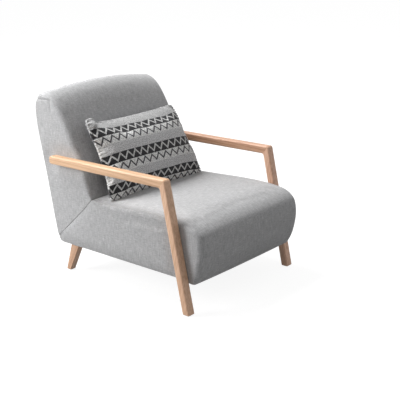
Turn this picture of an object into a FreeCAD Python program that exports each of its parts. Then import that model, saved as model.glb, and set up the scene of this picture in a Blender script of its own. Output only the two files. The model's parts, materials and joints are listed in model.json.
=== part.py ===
import FreeCAD, Part
import math
import os

# Open-arm lounge chair: a padded body with an L-shaped side hangs between two mitred beech
# frames, stands on two splayed rear legs behind, and carries one loose cushion.
# Millimetres. X runs to the sitter's left, the chair faces -Y and Z is up. Lengths along Y are
# measured from the front feet, and the finished pieces are moved so that the origin is the
# centre of the base.

V = FreeCAD.Vector

# Overall sizes
overall_width = 777.0
overall_height = 868.0
nose_reach = 46.0  # the seat roll's nose stands this far in front of the front feet
rear_reach = 955.0  # from the front feet to the rearmost point of the back
body_bottom = 137.0
soft_gap = 0.3  # between soft pieces and what lies beside them
fit_gap = 0.1  # round pins, bolts and sleeves
overrun = 40.0  # how far a cutting tool stands past what it cuts

# Arm frames
arm_width = 42.0
front_leg_depth = 36.7
front_leg_lean = 132.1  # how far back the top front corner stands
arm_front_height = 574.4
arm_rear_height = 563.2
arm_overhang = 48.2  # behind the rear bolt
arm_depth = 37.4
arm_edge_radius = 7.5
arm_corner_radius = 13.0
arm_end_radius = 12.0
foot_edge_radius = 4.0
glide_height = 3.0
glide_radius = 10.0
glide_pin_radius = 1.5
glide_pin_length = 14.0
mitre_dowel_radius = 4.0
mitre_dowel_length = 30.0
mitre_dowel_spacing = 20.0

# Rear legs
rear_leg_inset = 50.5  # from the arm frame's outer face
rear_leg_width = 33.3
rear_leg_splay = 64.5  # how far the foot stands behind the top
rear_leg_foot_depth = 28.2
rear_leg_setback = 103.5  # from the frame's lower rear edge to the front of the leg's top
rear_leg_top_depth = 51.5
rear_leg_edge_radius = 5.0

# Upholstered body
crease_y = 600.0  # where the seat meets the back
seat_height = 409.0
seat_fall = 21.0  # from the top of the roll down to the crease
roll_length = 161.0  # from the nose to the level part of the seat
seat_edge_radius = 24.0
seat_crown = 20.0
back_edge_radius = 26.0
back_crown = 20.0
fabric = 1.5
side_wadding = 6.0
wadding = 10.0
board = 3.0
seam_width = 0.3
seat_flap_depth = 60.0
back_flap_depth = 80.0
board_margin = 12.0

# Timber frame
rail_thickness = 25.0
rail_height = 95.0
dust_cover_thickness = 1.0
front_rail_y = 22.0
spring_rail_lead = 10.0  # in front of the crease
rear_foot_padding = 13.1  # behind the frame at its foot
rear_head_padding = 17.2  # behind the frame at its head
post_width = 50.0
frame_head_depth = 68.0  # from the top of the back down to the frame
stile_setback = 25.0  # behind the crease
stile_head_padding = 92.85  # from the rearmost point forward to the top of the stiles
stile_width = 49.3
stile_drop = 30.0  # below the top of the posts
top_rail_height = 50.0
top_rail_depth = 45.0
middle_rail_bottom = 430.0
middle_rail_height = 45.0
brace_width = 40.0
block_side = 55.0
block_height = 20.0
dowel_radius = 5.0
dowel_length = 50.0
dowel_low = 27.0  # above the rail's lower edge
dowel_high = 68.0

# Springs and webbing
spring_count = 5
spring_margin = 70.4  # from the side rail to the middle of the outer spring
spring_wire_radius = 1.8
spring_loop_width = 50.0
spring_pitch = 24.0
clip_width = 16.0
clip_length = 20.0
clip_height = 6.4
clip_bore_height = 3.9  # the wire's centre above the rail
felt = 2.0
webbing_count = 5
webbing_width = 50.0
webbing_thickness = 2.0
webbing_foot = 77.0  # above the seat rails
webbing_margin = 10.0  # below the top of the stiles

# Fasteners
bolt_radius = 4.0
bolt_head_radius = 6.5
bolt_head_height = 5.0
bolt_reach = 17.0  # into the arm frame
washer_radius = 9.0
washer_thickness = 1.6
insert_radius = 6.0
insert_length = 20.0
leg_bolt_rises = (42.0, 82.0)  # above the frame's lower edge
plate_length = 44.0
plate_width = 30.0
plate_thickness = 3.0
leg_bolt_depth = 34.0
plate_screw_radius = 2.0
plate_screw_length = 16.0
plate_screw_inset = 7.0

# Loose cushion, measured in its own leaning plane
cushion_side_gap = 38.5  # to the arm frames at its foot
cushion_taper = 64.0
cushion_length = 369.0
cushion_front_depth = 62.0
cushion_rear_depth = 44.0
cushion_draw = 13.0  # how far the sides are drawn in between the corners
cushion_lean_share = 0.6463  # of the slope of the inside back
cushion_foot_lead = 74.4  # in front of the crease
cushion_foot_drop = 0.5  # below the height of the crease
cushion_fabric = 1.2
cushion_filling_gap = 1.0

# Shapes of the outlines, as shares of the sizes that they follow.
# Each row is along, up, how much of the edge rounding and how much of the crown it takes.
roll_shares = (
    (0.335, 0.00, 0.30, 0.10),
    (0.200, 0.16, 0.80, 0.25),
    (0.062, 0.38, 1.00, 0.30),
    (0.000, 0.58, 1.00, 0.30),
    (0.080, 0.78, 1.00, 0.30),
    (0.422, 0.95, 0.80, 0.40),
    (1.000, 1.00, 0.50, 0.40),
)
seat_middle_share = 0.49
seat_middle_rise_share = 0.66
seat_edge_share = 0.45
seat_crown_share = 0.40
back_shares = (
    (0.000, 0.000, 0.00, 0.00),
    (0.113, 0.270, 0.60, 0.15),
    (0.259, 0.477, 0.90, 0.25),
    (0.366, 0.643, 1.00, 0.25),
    (0.473, 0.770, 1.00, 0.30),
    (0.555, 0.870, 1.00, 0.50),
    (0.662, 0.953, 1.00, 0.80),
    (0.783, 0.997, 1.00, 1.00),
    (0.915, 0.981, 0.80, 0.90),
    (0.973, 0.930, 0.50, 0.60),
    (1.000, 0.845, 0.00, 0.00),
    (0.992, 0.738, 0.00, 0.00),
    (0.969, 0.604, 0.00, 0.00),
    (0.825, 0.036, 0.00, 0.00),
    (0.648, -0.534, 0.00, 0.00),
)
rear_seam_index = 10  # the row of back_shares where the rear cover's seam runs
rounding_angle_shares = (0.25, 0.5, 0.75, 1.0)
inner_section_shares = (0.93, 0.8, 0.55, 0.28, 0.0)
seam_along_shares = (0.38, 0.55, 0.97)
seam_down_shares = (0.33, 0.45, 0.86)
cushion_across_shares = (-1.0, -0.86, -0.55, 0.0, 0.55, 0.86, 1.0)
cushion_swell_shares = (0.0, 0.50, 0.88, 1.0, 0.88, 0.50, 0.0)
cushion_along_shares = (0.0, 0.02, 0.07, 0.22, 0.5, 0.78, 0.93, 0.98, 1.0)
cushion_end_shares = (0.02, 0.25, 0.52, 0.87, 1.0, 0.87, 0.52, 0.25, 0.02)
cushion_inset_share = 3.0  # the seams stand this many times further in than the faces

# Places worked out from the sizes above
half_width = overall_width / 2
half_body = half_width - arm_width
base_y = (nose_reach - rear_reach) / 2
crease_height = seat_height - seat_fall
back_depth = rear_reach - crease_y - soft_gap
rear_foot_y = crease_y + soft_gap + back_depth * back_shares[-1][0]
frame_rear_y = rear_foot_y - rear_foot_padding
post_top = overall_height - frame_head_depth
frame_rear_slope = (rear_reach - rear_head_padding - frame_rear_y) / (post_top - body_bottom)
spring_rail_y = crease_y - spring_rail_lead
stile_foot_y = crease_y + stile_setback
stile_top = post_top - stile_drop
panel_inner = half_body - fabric
wadding_outer = panel_inner - soft_gap
board_outer = wadding_outer - side_wadding - soft_gap
frame_outer = board_outer - board
frame_inner = frame_outer - rail_thickness
rail_middle = frame_outer - rail_thickness / 2
frame_bottom = body_bottom + dust_cover_thickness
rail_top = frame_bottom + rail_height
stile_slope = (rear_reach - stile_head_padding - stile_foot_y) / (stile_top - rail_top)
felt_bottom = rail_top + clip_height + soft_gap
foam_bottom = felt_bottom + felt + soft_gap
spring_level = rail_top + clip_bore_height
lean_slope = front_leg_lean / arm_front_height
arm_bolt_y = (stile_foot_y + stile_width / 2
              + stile_slope * (arm_rear_height - arm_depth / 2 - rail_top))
arm_rear_y = arm_bolt_y + arm_overhang
arm_fall = (arm_front_height - arm_rear_height) / (arm_rear_y - front_leg_lean)
leg_top = frame_bottom - plate_thickness
rear_leg_outer = half_width - rear_leg_inset
rear_leg_inner = rear_leg_outer - rear_leg_width
rear_leg_top_y = frame_rear_y - rear_leg_setback
rear_leg_foot_y = rear_leg_top_y + rear_leg_splay
spring_spacing = 2 * (frame_inner - spring_margin) / (spring_count - 1)
webbing_first = rail_top + webbing_foot
webbing_pitch = (stile_top - webbing_margin - webbing_first) / webbing_count
cushion_width_low = 2 * (half_body - cushion_side_gap)
cushion_width_high = cushion_width_low - cushion_taper
cushion_foot_y = crease_y - cushion_foot_lead
cushion_foot_height = crease_height - cushion_foot_drop
cushion_lean = math.atan(cushion_lean_share * back_depth / (overall_height - crease_height))
wadding_start = fabric + soft_gap
foam_start = wadding_start + wadding + soft_gap


def slab(points, x_from, x_to):
    """A piece with a straight-sided outline in the YZ plane, as thick as x_from to x_to."""
    corners = [V(x_from, y, z) for y, z in points]
    face = Part.Face(Part.makePolygon(corners + corners[:1]))
    return face.extrude(V(x_to - x_from, 0, 0))


def box(x_from, x_to, y_from, y_to, z_from, z_to):
    return Part.makeBox(x_to - x_from, y_to - y_from, z_to - z_from, V(x_from, y_from, z_from))


def pin(centre, axis, radius, length):
    """A round bar whose middle is at centre."""
    unit = V(axis).normalize()
    return Part.makeCylinder(radius, length, centre - unit * (length / 2), unit)


def mirrored(shape):
    return shape.mirror(V(0, 0, 0), V(1, 0, 0))


def both_sides(shape):
    return [shape, mirrored(shape)]


def drilled(shape, tools):
    for tool in tools:
        shape = shape.cut(tool)
    return shape


def frame_rear(z):
    """Y of the timber frame's rear plane at height z."""
    return frame_rear_y + frame_rear_slope * (z - body_bottom)


def stile_front(z):
    """Y of the back stiles' front plane at height z."""
    return stile_foot_y + stile_slope * (z - rail_top)


def rear_bar(z_from, z_to, depth, x_from, x_to):
    """A rail or post whose rear face lies in the frame's rear plane."""
    low, high = frame_rear(z_from), frame_rear(z_to)
    outline = [(low, z_from), (high, z_to), (high - depth, z_to), (low - depth, z_from)]
    return slab(outline, x_from, x_to)


# Padded forms: lofts across the chair through outlines that shrink towards the sides

def rounding(x, radius):
    """1 away from the sides, falling to 0 along a quarter circle at the side planes."""
    depth = min(half_body - abs(x), radius)
    return math.sqrt(max(0.0, 1.0 - (1.0 - depth / radius) ** 2))


def section_places(radius, limit):
    """X of the sections: close together round the side edges, out to limit on both sides."""
    turning = [half_body - radius * (1 - math.cos(math.pi / 2 * share))
               for share in rounding_angle_shares]
    inner = [(half_body - radius) * share for share in inner_section_shares]
    right = [limit] + [x for x in turning if x < limit - soft_gap] + inner
    return [-x for x in right] + right[-2::-1]


def normals(points, first, last):
    """Outward directions of an outline that runs clockwise seen from the chair's left."""
    result = [first]
    for before, after in zip(points, points[2:]):
        along, up = after[0] - before[0], after[1] - before[1]
        size = math.hypot(along, up)
        result.append((-up / size, along / size))
    return result + [last]


def shrunk(points, directions, x, inset, radius, crown):
    """The outline's points in the section at x, drawn in by its rounding, crown and inset."""
    edge = radius * (1 - rounding(x, radius))
    fall = crown * (x / half_body) ** 2
    moved = []
    for (y, z, edge_share, crown_share), (out_y, out_z) in zip(points, directions):
        shrink = edge * edge_share + fall * crown_share + inset
        moved.append(V(x, y - out_y * shrink, z - out_z * shrink))
    return moved


def arcs(points):
    return [tuple(points[i:i + 3]) for i in range(0, len(points) - 2, 2)]


def seat_path(x, inset, end_y):
    """The seat's outline from its bottom front edge to the crease, as pieces of 3 points."""
    rise = seat_height - body_bottom
    points = [(roll_length * along - nose_reach, body_bottom + rise * up, edge, crown)
              for along, up, edge, crown in roll_shares]
    level_y = points[-1][0]
    middle_y = level_y + (crease_y - level_y) * seat_middle_share
    middle_z = crease_height + (seat_height - crease_height) * seat_middle_rise_share
    points.append((middle_y, middle_z, seat_edge_share, seat_crown_share))
    points.append((end_y, crease_height, seat_edge_share, seat_crown_share))
    directions = normals(points, (-1, 0), (0, 1))
    return arcs(shrunk(points, directions, x, inset, seat_edge_radius, seat_crown))


def back_outline(x, inset):
    rise = overall_height - crease_height
    wall_y = crease_y + soft_gap
    points = [(wall_y + back_depth * along, crease_height + rise * up, edge, crown)
              for along, up, edge, crown in back_shares]
    points[-1] = (points[-1][0], body_bottom, 0, 0)
    directions = normals(points, (-1, 0), (1, 0))
    return shrunk(points, directions, x, inset, back_edge_radius, back_crown)


def back_path(x, inset):
    """From the crease up the inside back and over the top to the rear seam."""
    return arcs(back_outline(x, inset)[:rear_seam_index + 1])


def rear_path(x, inset):
    """From the rear seam down to the bottom rear edge."""
    return arcs(back_outline(x, inset)[rear_seam_index:])


def path_edges(pieces):
    return [Part.Arc(*p).toShape() if len(p) == 3 else Part.makeLine(*p) for p in pieces]


def band(outer, inner):
    """A closed wire round the strip between two paths."""
    back = [piece[::-1] for piece in reversed(inner)]
    ends = [[(a, b)] if a.distanceToPoint(b) > 0 else []
            for a, b in ((outer[-1][-1], inner[-1][-1]), (inner[0][0], outer[0][0]))]
    return Part.Wire(path_edges(outer + ends[0] + back + ends[1]))


def closed(pieces, corners):
    """A closed wire along a path and back through the corners."""
    stops = [pieces[-1][-1]] + corners + [pieces[0][0]]
    return Part.Wire(path_edges(pieces + list(zip(stops, stops[1:]))))


def lofted(wire_at, radius, limit):
    return Part.makeLoft([wire_at(x) for x in section_places(radius, limit)], True)


def seat_layer(inset, thickness, end_y, limit):
    return lofted(lambda x: band(seat_path(x, inset, end_y),
                                 seat_path(x, inset + thickness, end_y)),
                  seat_edge_radius, limit)


def seat_solid(inset, end_y, limit):
    return lofted(lambda x: closed(seat_path(x, inset, end_y), [V(x, end_y, body_bottom)]),
                  seat_edge_radius, limit)


def seat_flap():
    """The strip of cloth under the seat cover's rear edge, pulled down into the crease."""
    def wire_at(x):
        top = seat_path(x, fabric + soft_gap, crease_y)[-1][-1].z
        foot = crease_height - seat_flap_depth
        corners = [V(x, crease_y - fabric, foot), V(x, crease_y, foot),
                   V(x, crease_y, top), V(x, crease_y - fabric, top)]
        return Part.makePolygon(corners + corners[:1])
    return lofted(wire_at, seat_edge_radius, frame_outer - soft_gap)


def back_flap():
    """The strip of cloth under the back cover's lower edge, behind the seat's."""
    return box(soft_gap - frame_outer, frame_outer - soft_gap, crease_y + soft_gap,
               crease_y + soft_gap + fabric, crease_height - back_flap_depth,
               crease_height - soft_gap)


def back_layer(inset, thickness, limit):
    return lofted(lambda x: band(back_path(x, inset), back_path(x, inset + thickness)),
                  back_edge_radius, limit)


def back_wire(x, inset):
    wall_y = back_outline(x, inset)[0].y
    return closed(back_path(x, inset) + rear_path(x, inset), [V(x, wall_y, body_bottom)])


def back_solid(inset, limit):
    return lofted(lambda x: back_wire(x, inset), back_edge_radius, limit)


def rear_cover():
    return lofted(lambda x: band(rear_path(x, 0), rear_path(x, fabric)),
                  back_edge_radius, half_body - soft_gap)


def side_face(inset):
    """The L-shaped outline of the body's side, drawn in by inset."""
    seat = Part.Face(closed(seat_path(half_body, 0, crease_y), [V(half_body, crease_y, body_bottom)]))
    back = Part.Face(back_wire(half_body, 0))
    bridge = box(half_body, half_width, crease_y - fabric, crease_y + fabric,
                 body_bottom, crease_height - seat_edge_radius)
    solids = [face.extrude(V(arm_width, 0, 0)) for face in (seat, back)]
    whole = solids[0].fuse([solids[1], bridge]).removeSplitter()
    face = next(f for f in whole.Faces if abs(f.CenterOfMass.x - half_body) < soft_gap)
    return face.makeOffset2D(-inset)


def side_layer(inset, x_outer, thickness):
    face = side_face(inset)
    face.translate(V(x_outer - half_body - thickness, 0, 0))
    return face.extrude(V(thickness, 0, 0))


# Arm frames

def mitre_corners():
    """The outer and inner corner where the front leg and the arm rail are mitred."""
    level = arm_front_height - arm_depth + arm_fall * front_leg_lean
    inner_z = (level - arm_fall * front_leg_depth) / (1 + arm_fall * lean_slope)
    outer = (front_leg_lean, arm_front_height)
    inner = (front_leg_depth + lean_slope * inner_z, inner_z)
    return outer, inner


def foot_edges(body):
    return [e for e in body.Edges if e.BoundBox.ZMax < glide_height + fit_gap]


def arm_frame():
    """The leg and rail of one side before they are parted along the mitre."""
    outer, inner = mitre_corners()
    outline = [(lean_slope * glide_height, glide_height), outer,
               (arm_rear_y, arm_rear_height), (arm_rear_y, arm_rear_height - arm_depth), inner,
               (front_leg_depth + lean_slope * glide_height, glide_height)]
    body = slab(outline, half_body, half_width)

    def across(edge):
        return abs(edge.tangentAt(edge.FirstParameter).x) > 0.99

    end = [e for e in body.Edges if across(e) and e.CenterOfMass.y > arm_rear_y - arm_width]
    body = body.makeFillet(arm_end_radius, end)
    corner = [e for e in body.Edges if across(e) and e.CenterOfMass.z > arm_depth
              and e.CenterOfMass.y < arm_rear_y - arm_depth]
    body = body.makeFillet(arm_corner_radius, corner)
    rims = [e for e in body.Edges if not across(e) and e.BoundBox.ZMax > glide_height + fit_gap]
    body = body.makeFillet(arm_edge_radius, rims)
    return body.makeFillet(foot_edge_radius, foot_edges(body))


def mitre_tool():
    """Everything on the leg's side of the mitre."""
    outer, inner = mitre_corners()
    along = V(0, outer[0] - inner[0], outer[1] - inner[1]).normalize() * arm_width
    high = V(0, *outer) + along
    low = V(0, *inner) - along
    far = V(0, -arm_front_height, high.z)
    floor = V(0, -arm_front_height, -overrun)
    foot = V(0, low.y, -overrun)
    return slab([(p.y, p.z) for p in (high, low, foot, floor, far)],
                half_body - overrun, half_width + overrun)


def mitre_pins(radius):
    outer, inner = mitre_corners()
    middle = V((half_body + half_width) / 2, (outer[0] + inner[0]) / 2, (outer[1] + inner[1]) / 2)
    axis = V(0, outer[1] - inner[1], inner[0] - outer[0])
    offsets = (-mitre_dowel_spacing / 2, mitre_dowel_spacing / 2)
    return [pin(middle + V(x, 0, 0), axis, radius, mitre_dowel_length) for x in offsets]


# Rear legs

def rear_leg():
    slope = (rear_leg_foot_y - rear_leg_top_y) / leg_top
    front_foot = rear_leg_foot_y - slope * glide_height
    outline = [(front_foot, glide_height), (front_foot + rear_leg_foot_depth, glide_height),
               (rear_leg_top_y + rear_leg_top_depth, leg_top), (rear_leg_top_y, leg_top)]
    body = slab(outline, rear_leg_inner, rear_leg_outer)
    uprights = [e for e in body.Edges if e.BoundBox.ZLength > leg_top / 2]
    body = body.makeFillet(rear_leg_edge_radius, uprights)
    return body.makeFillet(foot_edge_radius, foot_edges(body))


def glide_places():
    front = V((half_body + half_width) / 2, front_leg_depth / 2, 0)
    rear = V((rear_leg_inner + rear_leg_outer) / 2, rear_leg_foot_y + rear_leg_foot_depth / 2, 0)
    return front, rear


def glide(place, radius_gap):
    foot = Part.makeCylinder(glide_radius, glide_height, place)
    nail = Part.makeCylinder(glide_pin_radius + radius_gap, glide_pin_length,
                             place + V(0, 0, glide_height - fit_gap))
    return foot.fuse(nail)


# Fasteners

def bolt_places():
    """Where the arm frame is bolted to the body, on the body's left side."""
    heights = [frame_bottom + rise for rise in leg_bolt_rises]
    places = [V(half_body, lean_slope * z + front_leg_depth / 2, z) for z in heights]
    arm_z = arm_front_height - arm_fall * (arm_bolt_y - front_leg_lean) - arm_depth / 2
    return places + [V(half_body, arm_bolt_y, arm_z)]


def along_x(place, x_from, x_to, radius):
    return Part.makeCylinder(radius, x_to - x_from, V(x_from, place.y, place.z), V(1, 0, 0))


def arm_bolt(place):
    head_inner = frame_inner - washer_thickness - bolt_head_height
    head = along_x(place, head_inner, frame_inner - washer_thickness, bolt_head_radius)
    shank = along_x(place, head_inner, half_body + bolt_reach, bolt_radius)
    return head.fuse(shank)


def arm_washer(place):
    disc = along_x(place, frame_inner - washer_thickness, frame_inner, washer_radius)
    return disc.cut(along_x(place, 0, half_body, bolt_radius + fit_gap))


def sleeve(base, axis):
    outer = Part.makeCylinder(insert_radius, insert_length, base, axis)
    return outer.cut(Part.makeCylinder(bolt_radius + fit_gap, insert_length, base, axis))


def leg_plate_middle():
    return V((rear_leg_inner + rear_leg_outer) / 2, rear_leg_top_y + rear_leg_top_depth / 2,
             leg_top)


def leg_plate(gap):
    middle = leg_plate_middle()
    across, along = plate_width / 2 + gap, plate_length / 2 + gap
    return box(middle.x - across, middle.x + across, middle.y - along, middle.y + along,
               leg_top, frame_bottom)


def hanger_bolt(gap):
    middle = leg_plate_middle()
    length = leg_bolt_depth + plate_thickness + insert_length
    return Part.makeCylinder(bolt_radius + gap, length, middle - V(0, 0, leg_bolt_depth))


def plate_screw_places():
    middle = leg_plate_middle()
    across = plate_width / 2 - plate_screw_inset
    along = plate_length / 2 - plate_screw_inset
    return [middle + V(sx * across, sy * along, 0) for sx in (-1, 1) for sy in (-1, 1)]


def plate_screw(place, gap):
    return Part.makeCylinder(plate_screw_radius + gap, plate_screw_length, place)


# Timber frame

def frame_dowels(gap):
    """Pins through the rail joints of the left side."""
    radius = dowel_radius + gap
    heights = (frame_bottom + dowel_low, frame_bottom + dowel_high)
    pins = []
    for z in heights:
        pins.append(pin(V(rail_middle, front_rail_y + rail_thickness, z), V(0, 1, 0),
                        radius, dowel_length - rail_thickness / 2))
        pins.append(pin(V(rail_middle, frame_rear(z) - post_width, z), V(0, 1, 0),
                        radius, dowel_length))
        spring_y = spring_rail_y + rail_thickness / 2
        pins.append(pin(V(frame_inner, spring_y, z), V(1, 0, 0), radius,
                        dowel_length - rail_thickness / 2))
        pins.append(pin(V(frame_inner, frame_rear(z) - rail_thickness / 2, z), V(1, 0, 0),
                        radius, dowel_length - rail_thickness / 2))
    for bottom, height, depth in ((post_top - top_rail_height, top_rail_height, top_rail_depth),
                                  (middle_rail_bottom, middle_rail_height, rail_thickness)):
        for z in (bottom + height / 4, bottom + height * 3 / 4):
            pins.append(pin(V(frame_inner, frame_rear(z) - depth / 2, z), V(1, 0, 0),
                            radius, dowel_length - rail_thickness / 2))
    return pins


def corner_block(y_corner, y_sign):
    corners = [V(frame_inner, y_corner, frame_bottom),
               V(frame_inner - block_side, y_corner, frame_bottom),
               V(frame_inner, y_corner + y_sign * block_side, frame_bottom)]
    face = Part.Face(Part.makePolygon(corners + corners[:1]))
    return face.extrude(V(0, 0, block_height))


def back_stile():
    tall = stile_top - rail_top
    top_y = stile_foot_y + stile_slope * tall
    outline = [(stile_foot_y, rail_top), (stile_foot_y + stile_width, rail_top),
               (top_y + stile_width, stile_top), (top_y, stile_top)]
    return slab(outline, frame_inner, frame_outer)


# Springs, clips and webbing

def spring(x_middle, y_from, y_to):
    """One zigzag spring: crossbars joined by half circles, each made of two quarter turns."""
    bars = round((y_to - y_from) / spring_pitch)
    pitch = (y_to - y_from) / bars
    radius = pitch / 2
    reach = spring_loop_width / 2 - radius
    edges = []
    side = -1
    for k in range(bars + 1):
        y = y_from + pitch * k
        start = V(x_middle + side * reach, y, spring_level)
        end = V(x_middle - side * reach, y, spring_level)
        edges.append(Part.makeLine(start, end))
        if k == bars:
            break
        centre = end + V(0, radius, 0)
        out = V(-side * radius, 0, 0)
        turn = math.sqrt(2) / 2
        quarter = [centre - V(0, radius, 0), centre + out * turn - V(0, radius * turn, 0),
                   centre + out, centre + out * turn + V(0, radius * turn, 0),
                   centre + V(0, radius, 0)]
        edges.append(Part.Arc(*quarter[:3]).toShape())
        edges.append(Part.Arc(*quarter[2:]).toShape())
        side = -side
    path = Part.Wire(edges)
    ring = Part.makeCircle(spring_wire_radius, V(x_middle - reach, y_from, spring_level),
                           V(1, 0, 0))
    return path.makePipeShell([Part.Wire(ring)], True, False)


def spring_clip(x_middle, y_middle):
    body = box(x_middle - clip_width / 2, x_middle + clip_width / 2, y_middle - clip_length / 2,
               y_middle + clip_length / 2, rail_top, rail_top + clip_height)
    bore = pin(V(x_middle, y_middle, spring_level), V(1, 0, 0), spring_wire_radius + fit_gap,
               clip_width + overrun)
    return body.cut(bore)


def webbing(z_from):
    z_to = z_from + webbing_width / math.hypot(1, stile_slope)
    low, high = stile_front(z_from), stile_front(z_to)
    outline = [(low, z_from), (high, z_to), (high - webbing_thickness, z_to),
               (low - webbing_thickness, z_from)]
    return slab(outline, -frame_outer, frame_outer)


# Cushion

def cushion_point(across, along, out):
    lean = cushion_lean
    y = cushion_foot_y + along * math.sin(lean) - out * math.cos(lean)
    z = cushion_foot_height + along * math.cos(lean) + out * math.sin(lean)
    return V(across, y, z)


def cushion_rows(share, end_share, inset):
    """Front and rear rows of points across the cushion, from its right seam to its left."""
    seam_inset = inset * cushion_inset_share
    narrow = share * (cushion_width_low - cushion_width_high) / 2
    bow = (2 * share - 1) ** 2
    half = cushion_width_low / 2 - narrow - cushion_draw * (1 - bow) - seam_inset
    along = seam_inset + (cushion_length - 2 * seam_inset) * share
    draw = cushion_draw * (1 - 2 * share) * bow
    return [[cushion_point(half * across, along + draw * (1 - across ** 2),
                           depth * end_share * swell)
             for across, swell in zip(cushion_across_shares, cushion_swell_shares)]
            for depth in (cushion_front_depth - inset, inset - cushion_rear_depth)]


def capped_loft(pairs):
    """A solid through slices that needn't be flat, each given as two paths that share ends."""
    sides = Part.makeLoft([band(*pair) for pair in pairs], False)
    caps = [Part.makeRuledSurface(*[Part.Wire(path_edges(path)) for path in pair])
            for pair in (pairs[0], pairs[-1])]
    shell = Part.makeShell(sides.Faces + caps[0].Faces + caps[1].Faces)
    shell.sewShape()
    solid = Part.makeSolid(shell)
    return solid if solid.Volume > 0 else solid.reversed()


def cushion_slices(inset):
    return [cushion_rows(share, end, inset)
            for share, end in zip(cushion_along_shares, cushion_end_shares)]


def cushion_cover(side):
    """The front (0) or rear (1) half of the cushion's cover."""
    outer, inner = cushion_slices(0), cushion_slices(cushion_fabric)
    return capped_loft([(arcs(a[side]), arcs(b[side])) for a, b in zip(outer, inner)])


def cushion_filling():
    slices = cushion_slices(cushion_fabric + cushion_filling_gap)
    return capped_loft([(arcs(front), arcs(rear)) for front, rear in slices])


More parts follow.
